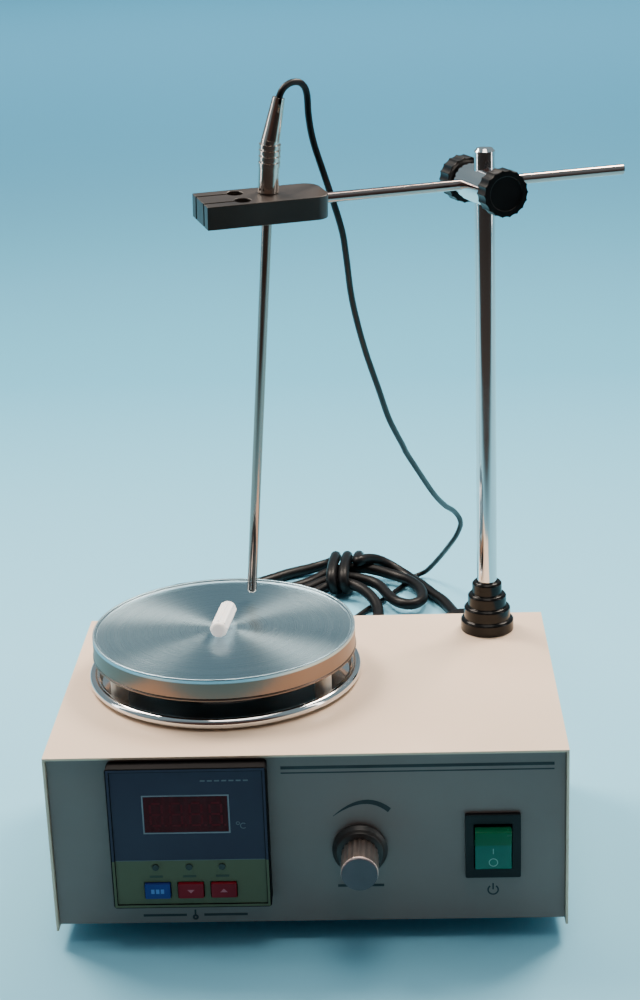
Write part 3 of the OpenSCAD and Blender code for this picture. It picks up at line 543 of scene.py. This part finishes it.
def ring(x, z, r, width, start=0, end=360, squash=1.0):
    """A ring, or a part of one between two angles counted from the right."""
    steps = max(6, round(abs(end - start) / 10))
    whole = abs(end - start) >= 360
    angles = [math.radians(start + (end - start) * i / steps) for i in range(steps + 1)]
    rows = [[(x + q * math.cos(a), z + squash * q * math.sin(a)) for a in angles]
            for q in (r + width / 2, r - width / 2)]
    if whole:
        for row in rows:
            row[-1] = row[0]
    return tuple(rows)


def frame_strip(x, z, w, h, width):
    """A rectangular border whose inner edge is w by h."""
    rows = []
    for grow in (width, 0):
        a, b = w / 2 + grow, h / 2 + grow
        rows.append([(x - a, z + b), (x + a, z + b), (x + a, z - b), (x - a, z - b), (x - a, z + b)])
    return tuple(rows)


def through(a, b, c, steps=12):
    """A parabola from a to c that passes b half way."""
    ctrl = [2 * b[i] - (a[i] + c[i]) / 2 for i in (0, 1)]
    return [tuple((1 - t) ** 2 * a[i] + 2 * t * (1 - t) * ctrl[i] + t * t * c[i] for i in (0, 1))
            for t in (k / steps for k in range(steps + 1))]


def lathe(name, profile, place, material, body, segments=96, wave=None):
    """A profile of (radius, height) in millimetres turned about a place's own Z axis.

    wave(angle, radius, height) gives the radius at that angle, for flutes and lobes.
    """
    bm = bmesh.new()
    rings = []
    for r, h in profile:
        circle = []
        for i in range(segments):
            a = 2 * math.pi * i / segments
            reach = wave(a, r, h) if wave else r
            circle.append(bm.verts.new(place @ Vector((reach * math.cos(a) * MM, reach * math.sin(a) * MM, h * MM))))
        rings.append(circle)
    for first, second in zip(rings, rings[1:]):
        for i in range(segments):
            k = (i + 1) % segments
            bm.faces.new((first[i], first[k], second[k], second[i]))
    bm.faces.new(rings[0][::-1])
    bm.faces.new(rings[-1])
    return mesh_piece(name, bm, material, body)


def rounded(profile, radius, steps=4):
    """A profile whose inner corners are rounded; radius is one number or one to each point."""
    radii = radius if hasattr(radius, "__len__") else [radius] * len(profile)
    out = [profile[0]]
    for before, here, after, r in zip(profile, profile[1:], profile[2:], radii[1:]):
        p, a, b = Vector(here), Vector(before), Vector(after)
        to_a, to_b = a - p, b - p
        cut = min(r, to_a.length / 2, to_b.length / 2)
        start, end = p + to_a.normalized() * cut, p + to_b.normalized() * cut
        for i in range(steps + 1):
            t = i / steps
            out.append(tuple(start * (1 - t) ** 2 + p * 2 * t * (1 - t) + end * t ** 2))
    out.append(profile[-1])
    return out


def smooth_path(points, step_mm):
    """A curve through the points, in metres, sampled about every step_mm."""
    path = []
    for i in range(len(points) - 1):
        a, b = points[max(i - 1, 0)], points[i]
        c, d = points[i + 1], points[min(i + 2, len(points) - 1)]
        count = max(1, round((c - b).length / (step_mm * MM)))
        for k in range(count):
            t = k / count
            path.append(b + (c - a) * (t / 2) + (a - b * 2.5 + c * 2 - d * 0.5) * (t * t)
                        + (b * 1.5 - a * 0.5 - c * 1.5 + d * 0.5) * (t ** 3))
    path.append(points[-1])
    return path


def relaxed(path, rounds):
    """The path with its kinks eased out, its ends held."""
    path = [p.copy() for p in path]
    for _ in range(rounds):
        path = [path[0]] + [
            p * 0.5 + (before + after) * 0.25 for before, p, after in zip(path, path[1:], path[2:])
        ] + [path[-1]]
    return path


def tube(name, path, radius_mm, material, body, sides=14, first=0, last=None):
    """A round tube along a path, or along its points from first to last; its ends are closed."""
    bm = bmesh.new()
    rings = []
    last = len(path) - 1 if last is None else last
    heading = (path[1] - path[0]).normalized()
    side = heading.cross(Vector((0, 0, 1)))
    side = side.normalized() if side.length > 0.1 else heading.cross(Vector((0, 1, 0))).normalized()
    for i, p in enumerate(path):
        heading = (path[min(i + 1, len(path) - 1)] - path[max(i - 1, 0)]).normalized()
        side = (side - heading * side.dot(heading)).normalized()
        other = heading.cross(side)
        if first <= i <= last:
            rings.append([bm.verts.new(p + (side * math.cos(a) + other * math.sin(a)) * (radius_mm * MM))
                          for a in (2 * math.pi * k / sides for k in range(sides))])
    for one, two in zip(rings, rings[1:]):
        for k in range(sides):
            n = (k + 1) % sides
            bm.faces.new((one[k], one[n], two[n], two[k]))
    for cap in (bm.faces.new(rings[0][::-1]), bm.faces.new(rings[-1])):
        for edge in cap.edges:
            edge.smooth = False
    return mesh_piece(name, bm, material, body)


def nearest(path, point):
    return min(range(len(path)), key=lambda i: (path[i] - point).length)


MATERIALS = build_materials()

# ---------------------------------------------------------------- cords

SENSOR_D = 3.2
CORD_D = 7.2
# Routes are in millimetres from the middle of the housing. The first starts inside the probe's strain relief.
TOP_ROUTE = [(-6.1, 28.4, 367.6), (-5.7, 28.4, 369.4), (-5.2, 28.5, 371.3), (-4.4, 29.1, 373.1), (-2.4, 31, 375.4),
             (0.6, 33.6, 376.6), (3.6, 36.4, 376.4), (6, 39, 374), (7, 41, 369), (7, 42, 362), (8, 44, 352),
             (10, 46, 343), (12, 48, 336)]
DROP_ROUTE = [(20, 57, 306), (22, 64, 290), (24, 78, 265), (29, 94, 237), (36, 114, 208), (41, 134, 186),
              (48, 158, 164)]
LEAD_ROUTE = [(50, 166, 157), (58, 194, 135), (66, 224, 113), (73, 249, 97), (80, 270, 85), (84, 287, 72),
              (82, 306, 57), (78, 325, 43), (71, 357, 21), (63, 376, 5), (56, 376, 2), (50, 364, 2), (44, 352, 2),
              (35, 336, 2), (26, 322, 2), (18, 308, 2), (6, 284, 2), (-6, 258, 2), (-16, 230, 2), (-22, 204, 2),
              (-24, 182, 3), (-24, 168, 8), (-24, 156, 20), (-24, 144, 34), (-24, 130, 46), (-24, 112, 50)]
# Where the sensor cable passes from one body to the next on its way down
CABLE_STEPS = [("probe", "holder", (7, 41, 369), (12, 48, 336)),
               ("holder", "arm", (12, 48, 336), (20, 57, 306)),
               ("arm", "clamp", (20, 57, 306), (26, 84, 254)),
               ("clamp", "rod", (26, 84, 254), (32, 102, 225)),
               ("rod", "root", (32, 102, 225), (82, 306, 57))]
CABLE_NODES = {0: "sensor_cable_top", 2: "sensor_cable_drop"}


def sensor_cable():
    route = [at(*p) for p in TOP_ROUTE + DROP_ROUTE + LEAD_ROUTE]
    path = relaxed(smooth_path(route, 2), 3)
    start = 0
    for i, (first, second, begin, end) in enumerate(CABLE_STEPS):
        stop = nearest(path, at(*end))
        piece = tube(f"sensor_cable_{i + 1}", path, SENSOR_D / 2, "cord_pvc", None, 12, start, stop)
        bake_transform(piece)
        if i in CABLE_NODES:
            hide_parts(CABLE_NODES[i])
        start = stop
    piece = tube("sensor_cable_6", path, SENSOR_D / 2, "cord_pvc", "root", 12, start)
    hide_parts("sensor_cable_lead")


# Mains lead: to the hank, one loop to the left, the small loop at the right, a second loop to the left,
# just over two turns round the strands and on to the plug
POWER_ROUTE = [(40, 112, 26), (40, 124, 25), (40, 138, 20), (40, 152, 10), (40, 166, 5), (39, 184, 4),
               (36, 208, 4), (32, 232, 4), (29, 256, 4), (29, 280, 4), (31, 306, 4)]
HANK_START = [(28, 322, 7), (20, 337, 9), (10, 344, 10.5), (0, 345, 9), (-14, 339, 5), (-34, 327, 3.7),
              (-54, 315, 3.7), (-72, 303, 3.7), (-90, 297, 3.7), (-104, 303, 3.7), (-107, 317, 3.7), (-97, 326, 3.7),
              (-80, 327, 3.7), (-58, 331, 3.7), (-38, 338, 3.7), (-18, 348, 5), (-4, 354, 8.5), (10, 355, 10.5),
              (22, 352, 9.5), (31, 346, 8), (37, 331, 7), (43, 318, 7), (52, 312, 7), (59, 319, 7), (60, 332, 7),
              (57, 345, 7), (51, 356, 7), (43, 364, 7), (33, 369, 8.5), (22, 371, 10.5), (10, 371, 10.5),
              (-2, 370, 8.5), (-14, 364, 4.5), (-26, 356, 3.7), (-42, 348, 3.7), (-58, 341, 3.7), (-74, 337, 3.7),
              (-90, 336, 3.7), (-103, 340, 3.7), (-109, 349, 3.7), (-103, 358, 3.7), (-90, 358, 3.7),
              (-76, 355, 3.7), (-60, 359, 3.7), (-46, 368, 3.7), (-32, 380, 3.7), (-17, 387, 4.5), (-6, 388, 7)]
TAIL_ROUTE = [(22, 369, 18), (31, 377, 14), (41, 378, 8), (51, 370, 4), (60, 354, 3.8), (67, 338, 3.8),
              (73, 326, 4), (78, 310, 4), (82, 294, 5), (83, 280, 10), (83, 266, 16), (83, 252, 19)]
WRAP_MIDDLE = (8, 362, 11.2)
WRAP_TURNS = 2.25
WRAP_HALF_WIDTH = 23
WRAP_HALF_HEIGHT = 7.4
WRAP_PITCH = 1.1                     # diameters of cord from turn to turn
WRAP_SLANT = 3
WRAP_SQUARENESS = 2.6                # 2 is an ellipse, more is nearer to a rectangle


def wrap_turns():
    """Turns round the strands, from the left end at the back to the right end at the back."""
    x, y, z = WRAP_MIDDLE
    steps = round(12 * WRAP_TURNS)
    points = []
    for i in range(steps + 1):
        a = 2 * math.pi * i / 12
        across, high = math.cos(a), math.sin(a)
        squared = (abs(across) ** WRAP_SQUARENESS + abs(high) ** WRAP_SQUARENESS) ** (-1 / WRAP_SQUARENESS)
        along = (i / steps - 0.5) * (WRAP_TURNS * CORD_D * WRAP_PITCH)
        points.append((x + along + WRAP_SLANT * across,
                       y + WRAP_HALF_WIDTH * across * squared,
                       z + WRAP_HALF_HEIGHT * high * squared))
    return points


def mains_lead():
    route = [at(*p) for p in POWER_ROUTE + HANK_START + wrap_turns() + TAIL_ROUTE]
    path = relaxed(smooth_path(route, 3), 2)
    piece = tube("mains_lead", path, CORD_D / 2, "cord_pvc", "root", 18)
    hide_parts("power_cord", "cord_hank")


# ---------------------------------------------------------------- printed marks

CONTROLLER = (-53, 58)
SWITCH_X = 83.5
KNOB = (23.5, 48)
BUTTON_XS = {"set_button": -15.5, "down_button": -0.4, "up_button": 14.6}
LED_XS = (-15.9, -0.7, 14.2)


def panel_marks():
    panel = Surface("front_overlay")
    top = COVER_TOP
    printed("mark_title_1", panel, [bar(50, top - 7.4, 122, 1.5)], "print_dark")
    printed("mark_title_2", panel, [bar(50, top - 10.0, 122, 0.6)], "print_dark")
    printed("mark_display_1", panel, [bar(-67, 14.4, 20, 1.2), bar(-39, 14.4, 20, 1.2)], "print_dark")
    printed("mark_display_2", panel, [ring(-53, 13.2, 0.9, 1.0), bar(-53, 15.6, 0.8, 3.0)], "print_dark")
    start = (11.7, top - 31.9)
    printed("mark_speed_arc", panel, [(through(start, (25.4, top - 24.1), (37.9, top - 28.4)),
                                       through((11.7, top - 32.1), (25.4, top - 26.1), (36.5, top - 30.4)))],
            "print_dark")
    printed("mark_speed_bar", panel, [bar(KNOB[0], 28.5, 21, 1.3)], "print_dark")
    printed("mark_power", panel, [ring(SWITCH_X, 25.2, 2.3, 0.7, 125, 415), bar(SWITCH_X, 27.0, 0.7, 3.2)],
            "print_dark")


def controller_marks():
    x, z = CONTROLLER
    film, window = Surface("controller_faceplate"), Surface("display_window")
    border = Surface("controller_bezel")
    printed("film_border", border, [frame_strip(x, z, 68.6, 67.1, 1.1)], "face_film", 0.08)
    printed("window_border", film, [frame_strip(x - 0.7, z + 12.1, 38.0, 18.0, 0.6)], "print_pale")
    digits = []
    for k in range(4):
        cx, cz, w, h, t = x - 0.7 + (k - 1.5) * 8.9, z + 12.1, 5.2, 11.0, 1.0
        digits += [bar(cx, cz + d * h / 2, w - 1.4, t) for d in (-1, 0, 1)]
        digits += [bar(cx + a * w / 2, cz + b * h / 4, t, h / 2 - 1.2) for a in (-1, 1) for b in (-1, 1)]
        digits.append(bar(cx + w / 2 + 1.5, cz - h / 2, 1.0, 1.0))
    printed("window_segments", window, digits, "segment_red", 0.03)
    printed("mark_degree", film, [ring(x + 22.4, z + 7.3, 0.7, 0.35), ring(x + 24.8, z + 6.0, 1.3, 0.4, 45, 315)],
            "print_dim")
    printed("mark_type", film, [bar(x + 7.5 + i * 3.2, z + 28.6, 2.2, 0.7) for i in range(7)], "print_dim")
    printed("mark_leds", film, [bar(x + led, z - 19.2, 6.0, 1.1) for led in LED_XS], "print_moss")
    printed("edge_line", film, [bar(x, z - 11, 67, 0.25)], "print_dim", 0.03)
    blue, down, up = (Surface(n) for n in ("set_button", "down_button", "up_button"))
    low = z - 26.1
    bx = x + BUTTON_XS["set_button"]
    printed("mark_set", blue, [bar(bx - 2.2, low, 1.5, 2.2), bar(bx, low, 1.5, 2.2), bar(bx + 2.2, low, 1.5, 2.2)],
            "print_sky")
    for name, face, sign in (("mark_down", down, -1), ("mark_up", up, 1)):
        bx = x + BUTTON_XS[face.node]
        printed(name, face, [([(bx - 1.7, low - sign * 0.7), (bx, low - sign * 0.7), (bx + 1.7, low - sign * 0.7)],
                              [(bx - 1.6, low - sign * 0.6), (bx, low + sign * 1.1), (bx + 1.6, low - sign * 0.6)])],
                "print_rose")


def switch_marks():
    rocker = Surface("switch_rocker")
    printed("mark_on", rocker, [bar(SWITCH_X, 46.8, 0.45, 2.6)], "print_mint", 0.04)
    printed("mark_off", rocker, [ring(SWITCH_X, 41.4, 1.9, 0.4, squash=0.95)], "print_mint", 0.04)


# ---------------------------------------------------------------- finished pieces

def speed_knob():
    """Dark stepped skirt, fluted metal grip and a thin bright rim round the cap."""
    centre = at(KNOB[0], 0, KNOB[1])
    place = Matrix.Translation((centre.x, PANEL_Y, centre.z)) @ Matrix.Rotation(math.radians(90), 4, "X")
    skirt = lathe("speed_knob_skirt",
                  rounded([(6, 0.6), (12.5, 0.6), (12.6, 2.6), (11.2, 4.2), (10.6, 6.4), (8.9, 7.0), (7, 7.0)], 0.5),
                  place, "knob_skirt", "speed_dial", 96)

    def flute(angle, r, height):
        if r < 7.9 or height > 22.9:
            return r
        return r - 0.42 * (0.5 - 0.5 * math.cos(angle * 20)) ** 0.7

    grip = lathe("speed_knob_grip",
                 rounded([(6.5, 5), (8.3, 6.6), (8.4, 7.6), (8.4, 22.4), (8.35, 23.3), (7.9, 23.6), (6.5, 23.6)], 0.3),
                 place, "knob_metal", "speed_dial", 240, flute)
    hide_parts("speed_knob")
    return skirt


EDGES = {"housing_cover": 0.5, "controller_bezel": 0.6, "set_button": 0.45, "down_button": 0.45, "up_button": 0.45,
         "switch_frame": 0.5, "switch_rocker": 0.35, "probe_holder": 0.8, "rod_clamp_knob": 0.5,
         "arm_clamp_knob": 0.5, "rod_boot": 0.5, "hot_plate": 0.3, "chassis_tray": 0.4, "rubber_feet": 0.6,
         "stir_bar": 0.5, "mains_plug": 0.9, "sensor_plug": 0.5, "cord_gland": 0.4, "probe_sleeve": 0.2,
         "plate_standoffs": 0.25, "controller_faceplate": 0.1, "knob_cap": 0.2, "transformer": 0.5,
         "controller_case": 0.6, "motor_body": 0.5, "fuse_holder": 0.4}


def finished_edges():
    for node, width in EDGES.items():
        refined(node, width)


# ---------------------------------------------------------------- the scene

def floor_material(name, near, far, reach):
    """Pale paper whose tint drifts with distance."""
    made = new_material(name, near, 0.8, Specular_IOR_Level=0.2)
    return made, tinted(made, near, far, axis_of(made, "Y"), *reach).outputs["Result"]


def stage_piece(name, bm, material):
    mesh = bpy.data.meshes.new(name)
    bm.to_mesh(mesh)
    bm.free()
    mesh.materials.append(material)
    piece = bpy.data.objects.new(name, mesh)
    bpy.context.scene.collection.objects.link(piece)
    return piece


def reflected_floor():
    """What chrome reflects and paint is lit by: pale, but dark in front of the object. The camera doesn't see it."""
    made, pale = floor_material("floor_reflected", *REFLECTED_TINTS)
    shade = node_of(made, "ShaderNodeMix")
    shade.data_type = "RGBA"
    shade.inputs["A"].default_value = (*REFLECTED_DARK, 1)
    near, far = REFLECTED_FADE
    link(made, ranged(made, axis_of(made, "Y"), 0, 1, far, near), shade.inputs["Factor"])
    link(made, pale, shade.inputs["B"])
    link(made, shade.outputs["Result"], shader_of(made).inputs["Base Color"])
    bm = bmesh.new()
    bmesh.ops.create_grid(bm, x_segments=1, y_segments=1, size=REFLECTED_HALF)
    piece = stage_piece("floor_reflected", bm, made)
    piece.location.z = -REFLECTED_DROP
    piece.visible_camera = False


def seen_floor():
    """What the camera sees: pale all over, and turned up at its rim like a studio cove."""
    made = floor_material("floor_paper", *PAPER_TINTS)[0]
    shader_of(made).inputs["Emission Color"].default_value = (*PAPER_GLOW, 1)
    link(made, ranged(made, axis_of(made, "Y"), *PAPER_GLOW_RANGE), shader_of(made).inputs["Emission Strength"])
    bends = [math.radians(a) for a in range(6, 91, 6)]
    profile = [(COVE_FLAT, 0.0)]
    profile += [(COVE_FLAT + COVE_BEND * math.sin(a), COVE_BEND * (1 - math.cos(a))) for a in bends]
    profile += [(COVE_FLAT + COVE_BEND, COVE_TOP)]
    angles = [2 * math.pi * i / COVE_SIDES for i in range(COVE_SIDES)]
    bm = bmesh.new()
    centre = bm.verts.new((0, 0, 0))
    rows = [[bm.verts.new((r * math.cos(a), r * math.sin(a), z)) for a in angles] for r, z in profile]
    for i in range(COVE_SIDES):
        k = (i + 1) % COVE_SIDES
        bm.faces.new((centre, rows[0][i], rows[0][k]))
        for low, high in zip(rows, rows[1:]):
            bm.faces.new((low[i], high[i], high[k], low[k]))
    for face in bm.faces:
        face.smooth = True
    piece = stage_piece("floor", bm, made)
    piece.visible_diffuse = piece.visible_glossy = piece.visible_shadow = False


# Where a node's finish isn't the one its slot is named after: the heater backing gets painted shade and the cross arm
# a painted dark reflection
FINISHES = {"heater_backing": "painted_shade_well", "cross_arm": "painted_reflection_chrome"}


def dress_cad_nodes():
    """Gives every CAD node that still shows its finished material."""
    for name, node in frame["nodes"].items():
        node.data.materials.clear()
        node.data.materials.append(MATERIALS[FINISHES.get(name, SLOT_OF[name])])


make_camera()
make_lights()
make_world()
reflected_floor()
seen_floor()
dress_cad_nodes()
finished_edges()
speed_knob()
panel_marks()
controller_marks()
switch_marks()
sensor_cable()
mains_lead()
